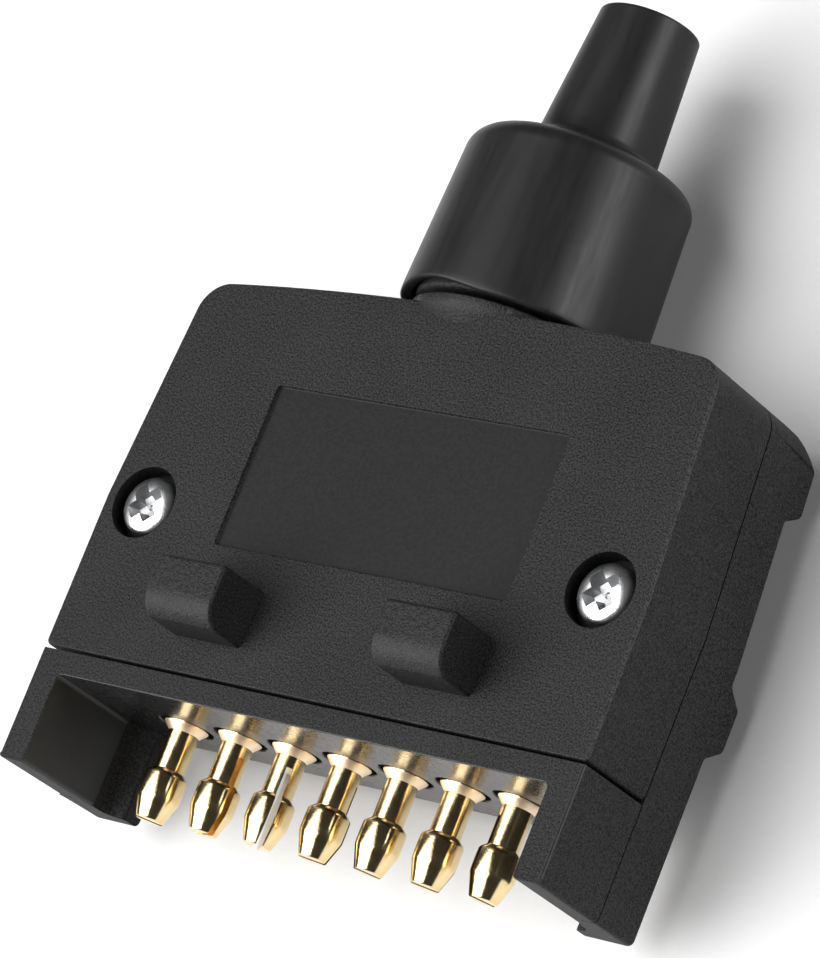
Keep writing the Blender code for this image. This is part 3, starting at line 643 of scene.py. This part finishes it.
def cover_solid():
    """Front shell with its latches, hump, label tray, hollow inside and two screw bosses."""
    bottom = PARTING_Z - 0.04
    body = rounded_slab(lambda inset: plan_outline(0.0, inset, low_share=0.3), bottom, 0.0, 0.1,
                        EDGE_RADIUS)
    hump = cut(neck_hump(), [block((-30, 30), (20, 50), (-30, bottom + 0.03))])
    body = joined(body, [hump, latch_block(-LATCH_X), latch_block(LATCH_X)])
    door_half = BLOCK[0] + GAP
    body = cut(body, [
        prism(plan_outline(WALL, WALL, low_share=0.0), bottom - 1.0, CHAMBER_TOP_Z),
        block((-door_half, door_half), (-1.0, 4.0), (bottom - 1.0, CHAMBER_TOP_Z)),
        arch_prism(NECK_ROOT_RADIUS + GAP, 31.0, 37.0),
        label_recess()])
    for _, x in screw_places():
        boss = cylinder(BOSS_RADIUS, (x, SCREW_Y, 0.0), "Z", PARTING_Z + 0.2, CHAMBER_TOP_Z + 0.2)
        body = shaped(body, [("UNION", boss), ("DIFFERENCE", screw_bore(x))])
    return body


def label_floor(middle, normal):
    width, low, high, depth = LABEL
    return abs(middle.x) < width / 2 and low < middle.y < high and abs(middle.z + depth) < 0.03


def latch_face(middle, normal):
    """Anything that stands out of the front face: only the latch blocks do."""
    return middle.z > 0.05


def rim_highlight(middle, normal):
    """The rounding round the front face, and nothing of the flat face or the sides: it takes a lighter
    plastic as a painted highlight line.
    """
    width, low, high, _ = LABEL
    by_label = abs(middle.x) < width / 2 + 0.5 and low - 0.5 < middle.y < high + 0.5
    by_screw = near_cover_screw(middle, COUNTERBORE_RADIUS + 0.3)
    return -EDGE_RADIUS < middle.z < 0.0 and 0.15 < normal.z < 0.98 and not by_screw and not by_label


# Faces inside the counterbores, which take the near-black plastic of the painted shade.
def counterbore(middle, normal):
    return -3.0 < middle.z < -0.04 and near_cover_screw(middle, COUNTERBORE_RADIUS + 0.02)


def front_cover():
    materials = [(SHELL, everywhere), (LABEL_FLOOR, label_floor), (LATCH, latch_face), (EDGE_HIGHLIGHT, rim_highlight),
                 (BORE_SHADE, counterbore)]
    piece("cover_moulding", cover_solid(), (0.0, 0.0, 0.0), materials, "front_cover",
          "front_cover")


# ---- rear housing --------------------------------------------------------------------------

def rear_side_profile(parting):
    """Side view of the rear shell: two rails across a flat back and a leaning cable end."""
    soft = 0.6
    corners = [(WING_TIP_Y, parting, 0.08), (WING_TIP_Y, BACK_Z, soft)]
    for rail in (LOWER_RAIL, UPPER_RAIL):
        corners += [(y, z, soft) for y, z in zip(rail, (BACK_Z, RAIL_Z, RAIL_Z, BACK_Z))]
    corners += [(*CABLE_END_FOOT, 0.3), (CABLE_END_TOP_Y, parting, 0.0)]
    return rounded(corners, 6)


def rear_neck():
    """Root and collar of the neck, in one turned shape."""
    root, collar, end = NECK_Y
    soft = 0.4
    profile = [(NECK_ROOT_RADIUS, root), (NECK_ROOT_RADIUS, collar)]
    profile += arc(NECK_RADIUS - soft, collar + soft, soft, -90, 0, 5)
    profile += arc(NECK_RADIUS - soft, end - soft, soft, 0, 90, 5)
    return turned(profile, (0.0, 0.0, NECK_Z), "Y", 96)


def rear_tongue():
    """Half-round saddle behind the neck that the cable lies in."""
    split = CLAMP_SPLIT_Z - PARTING_GAP - NECK_Z
    flat = math.degrees(math.acos(TONGUE_HALF_WIDTH / TONGUE_RADIUS))
    outline = [(-TONGUE_HALF_WIDTH, split)]
    outline += arc(0.0, 0.0, TONGUE_RADIUS, 180 + flat, 360 - flat, 30)
    outline.append((TONGUE_HALF_WIDTH, split))
    solid = along_y(outline, NECK_Y[2] - 0.7, TONGUE_END_Y)
    return soften(solid, 0.25, 3, lambda p: p.y > TONGUE_END_Y - 0.01)


def mouth_outline(low_z, high_z, clear=0.0):
    """Cross-section of the opening between the wings, whose sides curve in to the return lips."""
    lip, wing, ledge = LIP_X - clear, WING_INNER_X - clear, LEDGE_Z + clear
    right = [(lip, low_z, 0.0), (lip, ledge, 0.4), (wing, ledge, LEDGE_CURVE), (wing, high_z, 0.0)]
    left = [(-x, z, radius) for x, z, radius in reversed(right)]
    return rounded(right + left)


def housing_solid():
    """Rear shell with its rails, wings, hollow inside, key, screw bosses, neck and saddle."""
    parting = PARTING_Z - PARTING_GAP
    plan = prism(plan_outline(WING_TIP_Y - 2.0), RAIL_Z - 1.0, parting + 1.0)
    outer = shaped(plan, [("INTERSECT", prism(rear_side_profile(parting), -30.0, 30.0, axis="X"))])
    soften(outer, 0.5, 5, lambda p: p.z < parting - 0.1 and abs(p.x) > 20.0)
    above = PARTING_Z + 1.0
    door_half = BLOCK[0] + GAP
    body = cut(outer, [
        prism(mouth_outline(RAIL_Z - 1.0, above), WING_TIP_Y - 1.0, -GAP / 2, "Y"),
        block((-SKIN_X - 0.02, SKIN_X + 0.02), (WING_TIP_Y - 1.0, -GAP / 2), (SKIN_Z - 0.02, above)),
        block((-door_half, door_half), (-1.0, BLOCK[1] + GAP), (CHAMBER_FLOOR_Z, above)),
        prism(plan_outline(WALL, WALL, drop=0.6, low_share=0.0), CHAMBER_FLOOR_Z, above)])
    root_z = CHAMBER_FLOOR_Z - 0.5
    additions = [block((-KEY_HALF_WIDTH, KEY_HALF_WIDTH), KEY_Y, (root_z, CHAMBER_FLOOR_Z + KEY_HEIGHT))]
    for _, x in screw_places():
        additions.append(cylinder(BOSS_RADIUS, (x, SCREW_Y, 0.0), "Z", root_z, parting - 0.2))
    body = joined(body, additions + [rear_neck(), rear_tongue()])
    bores = []
    for (_, screw_x), (_, clamp_x) in zip(screw_places(), clamp_screw_places()):
        bores.append(cylinder(SCREW_HOLE_RADIUS, (screw_x, SCREW_Y, 0.0), "Z", SCREW_HOLE_END_Z, 0.0, 48))
        bores.append(cylinder(CLAMP_HOLE_RADIUS, (clamp_x, CLAMP_MIDDLE_Y, 0.0), "Z", CLAMP_HOLE_END_Z,
                              0.0, 32))
    bores.append(cylinder(CABLE_BORE_RADIUS, (0.0, 0.0, NECK_Z), "Y", 30.0, NECK_Y[2] - 1.0))
    bores.append(cylinder(CABLE_RADIUS, (0.0, 0.0, NECK_Z), "Y", 38.0, 52.0, 48))
    return cut(body, bores)


def rear_housing():
    piece("housing_moulding", housing_solid(), (0.0, 0.0, 0.0), [(SHELL, everywhere)], "root",
          "rear_housing")


# ---- pin carrier ---------------------------------------------------------------------------

def pin_places():
    """(number, x) of the contacts, from left to right."""
    first_x = -PIN_PITCH * (PIN_COUNT - 1) / 2
    return [(index + 1, first_x + PIN_PITCH * index) for index in range(PIN_COUNT)]


def wing_outline(outer_x, outer_radius):
    """Strip and two wings from above: a U whose legs are the wings."""
    seam, tip_radius, root_radius = -GAP, 0.35, 0.45
    corners = [(outer_x, seam, 0.0), (-outer_x, seam, 0.0), (-outer_x, WING_TIP_Y, outer_radius)]
    corners += [(-WING_INNER_X, WING_TIP_Y, tip_radius), (-WING_INNER_X, MOUTH_Y, root_radius)]
    corners += [(WING_INNER_X, MOUTH_Y, root_radius), (WING_INNER_X, WING_TIP_Y, tip_radius)]
    corners.append((outer_x, WING_TIP_Y, outer_radius))
    return rounded(corners, 6)


def carrier_solid():
    """Strip, wings and end wall, with a block behind the wall that the contacts run through."""
    half, end_y, low_z, high_z = BLOCK
    overlap = 0.53
    front = prism(wing_outline(HALF_WIDTH, 0.5), PARTING_Z, 0.0)
    soften(front, EDGE_RADIUS, 8, lambda p: p.z > -0.01 and abs(p.x) > HALF_WIDTH - 0.01)
    soften(front, 0.14, 3, lambda p: p.z > -0.01 and abs(p.x) < HALF_WIDTH - 0.5)
    body = joined(front, [
        prism(wing_outline(SKIN_X, 0.0), SKIN_Z, PARTING_Z + overlap),
        prism(mouth_outline(BACK_Z, SKIN_Z + overlap, 0.05), MOUTH_Y, -GAP, "Y"),
        block((-half, half), (-GAP - overlap, end_y), (low_z, high_z))])
    key_x = KEY_HALF_WIDTH + GAP
    cuts = [block((-key_x, key_x), (KEY_Y[0] - GAP, KEY_Y[1] + GAP),
                  (low_z - 1.0, CHAMBER_FLOOR_Z + KEY_HEIGHT + GAP))]
    socket_end_y = MOUTH_Y + SOCKET_DEPTH
    bore = [(SOCKET_RADIUS + 0.08, MOUTH_Y - 1.0), (SOCKET_RADIUS + 0.08, MOUTH_Y),
            (SOCKET_RADIUS, MOUTH_Y + 0.1), (SOCKET_RADIUS, socket_end_y),
            (PIN_BODY_RADIUS + 0.05, socket_end_y), (PIN_BODY_RADIUS + 0.05, end_y + 1.0)]
    for _, x in pin_places():
        cuts.append(turned(bore, (x, 0.0, PIN_Z), "Y", 48))
    return cut(body, cuts)


def wing_inside(middle, normal):
    """Inner sides of the wings, which face each other across the mouth."""
    across = abs(normal.x) > 0.5 and abs(normal.z) < 0.5
    return across and middle.y < MOUTH_Y and abs(middle.x) < WING_INNER_X + 0.3


def mouth_face(middle, normal):
    """Wall between the wings that the pins stand in."""
    return normal.y < -0.5 and middle.y > MOUTH_Y - 0.05 and abs(middle.x) < WING_INNER_X


def wing_round(middle, normal):
    """Rounding along the outer front edges of the wings."""
    by_edge = abs(middle.x) > HALF_WIDTH - EDGE_RADIUS and middle.z > -EDGE_RADIUS
    return by_edge and 0.1 < abs(normal.x) < 0.99


def pin_carrier():
    materials = [(SHELL, everywhere), (SATIN, wing_inside), (GLOSS, mouth_face), (SATIN, wing_round)]
    piece("carrier_moulding", carrier_solid(), (0.0, 0.0, 0.0), materials, "root",
          "pin_carrier")


# ---- contacts and terminals ----------------------------------------------------------------

def pin_profile():
    """(radius, y) from the tip of the split bulb to the inside of the wire barrel."""
    start, end = BARREL_Y
    profile = [(1.02, PIN_TIP_Y)] + arc(1.12, PIN_TIP_Y + 0.12, 0.12, -90, -10, 4)
    profile += [(1.74, -9.22), (1.82, -9.02), (1.86, -8.80), (1.87, -8.0), (1.86, -7.0), (1.82, -6.84)]
    profile += [(1.33, -6.40), (1.33, -3.02)]
    profile += [(1.90, -2.44), (1.95, -2.34), (1.95, -2.14), (1.90, -2.06), (1.50, -2.04)]
    profile += [(PIN_BODY_RADIUS, start - 0.05), (PIN_BODY_RADIUS + 0.1, start)]
    profile += [(BARREL_RADIUS - 0.15, start), (BARREL_RADIUS, start + 0.15)]
    profile += [(BARREL_RADIUS, end - 0.12), (BARREL_RADIUS - 0.12, end)]
    profile += [(WIRE_BORE_RADIUS + 0.1, end), (WIRE_BORE_RADIUS, end - 0.1)]
    profile.append((WIRE_BORE_RADIUS, start + 1.0))
    return profile


def pin_seat(middle, normal):
    """Front of the flange that the pin is pressed home against; it takes the lighter gold of a painted
    highlight.
    """
    return -3.02 < middle.y < -2.10 and normal.y < -0.3


def contact_pins():
    for number, x in pin_places():
        centre = (x, 0.0, PIN_Z)
        slot = block((-PIN_SLOT / 2, PIN_SLOT / 2), (-12.0, PIN_SLOT_END_Y), (-3.0, 3.0))
        turn = Matrix.Rotation(math.radians(PIN_SLOT_TURNS[number - 1]), 4, "Y")
        moved(slot, Matrix.Translation(centre) @ turn)
        screw_hole = cylinder(TERMINAL_RADIUS + 0.05, (x, TERMINAL_Y, 0.0), "Z", PIN_Z, -4.0, 32)
        pin = cut(turned(pin_profile(), centre, "Y", 56), [slot, screw_hole])
        piece(f"split_pin_{number}", pin, centre, [(GOLD, everywhere), (GOLD_SEAT_HIGHLIGHT, pin_seat)], "root",
              f"contact_pin_{number}")


def terminal_profile():
    """(radius, z) of a terminal screw: a bevelled point, ring-shaped grooves and a bevelled top."""
    (low, high), radius = TERMINAL_Z, TERMINAL_RADIUS
    profile = [(radius - 0.3, low), (radius, low + 0.3)]
    level = low + 0.6
    while level < high - 0.9:
        profile += [(radius, level), (radius - 0.12, level + 0.15), (radius, level + 0.3)]
        level += 0.4
    return profile + [(radius, high - 0.15), (radius - 0.05, high - 0.04), (radius - 0.15, high)]


def terminal_screws():
    top = TERMINAL_Z[1]
    for number, x in pin_places():
        centre = (x, TERMINAL_Y, 0.0)
        slot = block((x - 0.2, x + 0.2), (TERMINAL_Y - 2.0, TERMINAL_Y + 2.0), (top - 0.7, top + 1.0))
        screw = cut(turned(terminal_profile(), centre, "Z", 40), [slot])
        piece(f"binding_screw_{number}", screw, centre, [(TERMINAL, everywhere)],
              f"terminal_screw_{number}", f"terminal_screw_{number}")


# ---- screws --------------------------------------------------------------------------------

def thread(seat_z, length, shank, pitch):
    """Profile of a screw's point and ring-shaped threads, from the tip up to the head's seat."""
    tip = seat_z - length
    root = shank * 0.8
    profile = [(shank * 0.15, tip), (root * 0.9, tip + pitch * 0.8)]
    level = tip + pitch
    while level < seat_z - pitch:
        profile += [(root, level), (shank, level + pitch * 0.42), (shank, level + pitch * 0.52)]
        level += pitch
    return profile + [(root, level), (root, seat_z)]


def pan_head(seat_z, head, height):
    """Profile of a pan head: a low straight side under a crown that flattens towards the middle."""
    profile = [(head * 0.93, seat_z), (head * 0.99, seat_z + height * 0.07)]
    profile.append((head, seat_z + height * 0.2))
    side = seat_z + height * 0.38
    steps = 10
    for step in range(steps + 1):
        angle = math.radians(90) * step / steps
        profile.append((head * (0.42 + 0.575 * math.cos(angle)), side + height * 0.62 * math.sin(angle)))
    return profile


def cross_tool(centre, top, arm, width, depth, turn_degrees):
    """Tapered cross that sinks the recess: wide at the top and narrow at its floor."""
    floor = (top - depth, arm * 0.66, width * 0.36)
    mouth = (top + 0.3, arm * 1.06, width * 0.56)
    place = Matrix.Translation((centre[0], centre[1], 0.0))
    bars = []
    for degrees in (turn_degrees, turn_degrees + 90):
        rings = [[(-reach, -half, level), (reach, -half, level), (reach, half, level),
                  (-reach, half, level)] for level, reach, half in (floor, mouth)]
        bars.append(moved(loft(rings), place @ Matrix.Rotation(math.radians(degrees), 4, "Z")))
    core = [(arm * 0.12, top - depth * 1.15), (arm * 0.52, top + 0.3)]
    bars.append(turned(core, (centre[0], centre[1], 0.0), "Z", 24))
    return bars


def pan_screw(centre, seat_z, length, shank, head, height, pitch, turn_degrees):
    profile = thread(seat_z, length, shank, pitch) + pan_head(seat_z, head, height)
    cross = cross_tool(centre, seat_z + height, head * 0.66, head * 0.5, height * 0.75, turn_degrees)
    return cut(turned(profile, centre, "Z", 56), cross)


def shaded_cross_recess(middle, normal):
    """Walls and floor of a cover screw's cross, well under the head's crown, which take darker zinc as
    painted shade.
    """
    depth = SCREW_SEAT_Z + SCREW_HEAD_HEIGHT - middle.z
    return 0.2 < depth < SCREW_HEAD_HEIGHT and near_cover_screw(middle, SCREW_HEAD_RADIUS * 0.72)


def cover_screws():
    materials = [(ZINC, everywhere), (ZINC_RECESS_SHADE, shaded_cross_recess)]
    for side, x in screw_places():
        centre = (x, SCREW_Y, 0.0)
        solid = pan_screw(centre, SCREW_SEAT_Z, length=11.2, shank=1.45, head=SCREW_HEAD_RADIUS,
                          height=SCREW_HEAD_HEIGHT, pitch=1.3, turn_degrees=40)
        piece(f"cover_screw_{side}", solid, centre, materials, f"housing_screw_{side}",
              f"housing_screw_{side}")


def clamp_screws():
    seat_z = CLAMP_SPLIT_Z + CLAMP_HEIGHT + GAP
    for side, x in clamp_screw_places():
        centre = (x, CLAMP_MIDDLE_Y, 0.0)
        solid = pan_screw(centre, seat_z, length=6.2, shank=CLAMP_SCREW_RADIUS, head=1.6, height=1.1,
                          pitch=0.7, turn_degrees=25)
        piece(f"saddle_screw_{side}", solid, centre, [(ZINC, everywhere)], f"clamp_screw_{side}",
              f"clamp_screw_{side}")


# ---- cable clamp ---------------------------------------------------------------------------

def cable_clamp():
    """Bar with an arched middle that presses the cable into the saddle."""
    half, base, soft = TONGUE_HALF_WIDTH, CLAMP_SPLIT_Z, 0.6
    low_y, high_y = CLAMP_Y
    corners = [(-half, low_y, soft), (half, low_y, soft), (half, high_y, soft), (-half, high_y, soft)]
    bar = prism(rounded(corners, 6), base, base + CLAMP_HEIGHT)
    arch = cylinder(CLAMP_ARCH_RADIUS, (0.0, 0.0, NECK_Z), "Y", low_y + 0.05, high_y - 0.05, 64)
    arch = cut(arch, [block((-10, 10), (low_y - 1, high_y + 1), (-20.0, base + 0.05))])
    tools = [cylinder(CABLE_RADIUS - 0.2, (0.0, 0.0, NECK_Z), "Y", 40.0, 52.0, 48)]
    head_room = 1.9
    for _, x in clamp_screw_places():
        centre = (x, CLAMP_MIDDLE_Y, 0.0)
        tools.append(cylinder(CLAMP_HOLE_RADIUS, centre, "Z", -20.0, 0.0, 32))
        tools.append(cylinder(head_room, centre, "Z", base + CLAMP_HEIGHT, 0.0, 40))
    solid = cut(joined(bar, [arch]), tools)
    piece("clamp_bar", solid, (0.0, CLAMP_MIDDLE_Y, base), [(SHELL, everywhere)], "cable_clamp",
          "cable_clamp")


# ---- boot ----------------------------------------------------------------------------------

def tapered(start_radius, end_radius, start_y, end_y, steps):
    """Points of a straight taper, without its first one."""
    shares = [step / steps for step in range(1, steps + 1)]
    return [(start_radius + (end_radius - start_radius) * share, start_y + (end_y - start_y) * share)
            for share in shares]


def boot_profile():
    """(radius, y) of the boot's skin: outside from the lip to the cone's end, then back inside."""
    lip_y, shoulder_y, cone_y, end_y = BOOT_Y
    lip_top_y, lip_round = lip_y + LIP_HEIGHT, 0.28
    outside = [(10.0, lip_y + 0.02)]
    outside += arc(10.25, lip_y + lip_round, lip_round, -90, 0, 5)
    outside.append((BOOT_RADIUS, lip_top_y))
    outside += tapered(BOOT_RADIUS, BOOT_SHOULDER_RADIUS, lip_top_y, shoulder_y, 14)
    outside += arc(BOOT_SHOULDER_RADIUS - SHOULDER_ROUND, shoulder_y, SHOULDER_ROUND, 0, 72, 12)[1:]
    outside += [(7.4, 52.55), (6.6, 52.88), (6.05, 53.08), (5.75, 53.2), (5.55, 53.32)]
    outside += [(5.42, 53.46), (5.34, 53.64), (CONE_FOOT_RADIUS, cone_y)]
    outside += tapered(CONE_FOOT_RADIUS, CONE_FOOT_RADIUS - CONE_TAPER, cone_y, end_y - 0.35, 12)
    outside += arc(4.22, end_y - CONE_END_ROUND, CONE_END_ROUND, 0, 90, 4)
    inside = [(CABLE_RADIUS + 0.25, end_y), (CABLE_RADIUS + 0.05, end_y - 0.2)]
    inside += [(CABLE_RADIUS, cone_y + 1.0), (4.4, 52.3), (7.8, 51.6), (9.2, 50.0)]
    inside += [(BOOT_HOLLOW_RADIUS, 42.0), (BOOT_HOLLOW_RADIUS, lip_y + 0.3)]
    return outside + inside


def lift_lip(solid):
    """Pull the lip up where it rides over the hump; the pull fades out around and above."""
    for vert in solid.verts:
        around = math.degrees(math.atan2(vert.co.z - NECK_Z, vert.co.x))
        off_middle = abs(around - LIP_LIFT_MIDDLE) / LIP_LIFT_HALF_WIDTH
        above = (vert.co.y - BOOT_Y[0]) / LIP_LIFT_REACH
        if off_middle < 1.0 and above < 1.0:
            vert.co.y += LIP_LIFT * (1 - off_middle ** 2) ** 2 * (1 - above) ** 2
    return solid


def lean_cone(solid):
    """Set the cone a little off the boot's axis, towards +X, and let it lean further out."""
    _, shoulder_y, cone_y, _ = BOOT_Y
    for vert in solid.verts:
        share = min(max((vert.co.y - shoulder_y) / (cone_y - shoulder_y), 0.0), 1.0)
        vert.co.x += CONE_OFFSET * share + CONE_LEAN * max(vert.co.y - cone_y, 0.0)
    return solid


def rubber_boot():
    skin = turned(boot_profile(), (0.0, 0.0, NECK_Z), "Y", 160, ring_shaped=True)
    piece("boot_moulding", lean_cone(lift_lip(skin)), (0.0, 0.0, NECK_Z), [(RUBBER, everywhere)],
          "rubber_boot", "rubber_boot")


# ---- studio --------------------------------------------------------------------------------

def studio_floor():
    half, corner = FLOOR_HALF_WIDTH / MM, FLOOR_CORNER / MM
    outline = rounded([(-half, -half, corner), (half, -half, corner), (half, half, corner),
                       (-half, half, corner)], 6)
    floor = temporary(prism(outline, -FLOOR_THICKNESS / MM, 0.0))
    floor.name = "studio_floor"
    floor.data.transform(Matrix.Scale(MM, 4))
    floor.data.materials.append(floor_paper("floor_paper"))


def toward(azimuth, elevation):
    """Direction at an azimuth from -Y towards +X and a height over the horizon, in degrees."""
    turn, lift = math.radians(azimuth), math.radians(elevation)
    return Vector((math.sin(turn) * math.cos(lift), -math.cos(turn) * math.cos(lift), math.sin(lift)))


def softbox(name, direction, distance, width, height, power):
    """Rectangular lamp that stands off LIGHT_AIM in a direction and faces it."""
    light = bpy.data.lights.new(name, "AREA")
    light.shape = "RECTANGLE"
    light.size = width
    light.size_y = height
    light.energy = power
    lamp = bpy.data.objects.new(name, light)
    bpy.context.scene.collection.objects.link(lamp)
    lamp.location = LIGHT_AIM + direction * distance
    lamp.rotation_euler = direction.to_track_quat("Z", "Y").to_euler()


def studio_world():
    """A dark, even room: nearly all the light comes from the softboxes and off the floor."""
    world = bpy.data.worlds.new("studio_world")
    world.use_nodes = True
    background = world.node_tree.nodes["Background"]
    background.inputs["Color"].default_value = (WORLD_LEVEL, WORLD_LEVEL, WORLD_LEVEL, 1.0)
    background.inputs["Strength"].default_value = 1.0
    bpy.context.scene.world = world


def studio_light():
    bpy.context.scene.view_settings.view_transform = "Standard"
    softbox("top_softbox", toward(-50, 64), distance=1.0, width=1.15, height=1.15, power=22.5)
    softbox("side_softbox", toward(112, 13), distance=0.8, width=0.26, height=0.36, power=4.4)
    softbox("front_softbox", toward(-46, 28), distance=0.8, width=0.50, height=0.40, power=4.4)


def studio_camera():
    azimuth, roll = math.radians(CAMERA_AZIMUTH), math.radians(CAMERA_ROLL)
    back = toward(CAMERA_AZIMUTH, CAMERA_ELEVATION)
    level = Vector((math.cos(azimuth), math.sin(azimuth), 0.0))
    upright = back.cross(level)
    right = level * math.cos(roll) + upright * math.sin(roll)
    up = back.cross(right)
    data = bpy.data.cameras.new("camera")
    data.sensor_fit = "HORIZONTAL"
    data.sensor_width = SENSOR_WIDTH
    data.lens = LENS
    camera = bpy.data.objects.new("camera", data)
    bpy.context.scene.collection.objects.link(camera)
    pose = Matrix((right, up, back)).transposed().to_4x4()
    camera.matrix_world = Matrix.Translation(CAMERA_AIM + back * CAMERA_DISTANCE) @ pose
    bpy.context.scene.camera = camera


# ---- the scene -----------------------------------------------------------------------------

studio_camera()
studio_floor()
studio_world()
studio_light()
front_cover()
rear_housing()
pin_carrier()
contact_pins()
terminal_screws()
cover_screws()
clamp_screws()
cable_clamp()
rubber_boot()
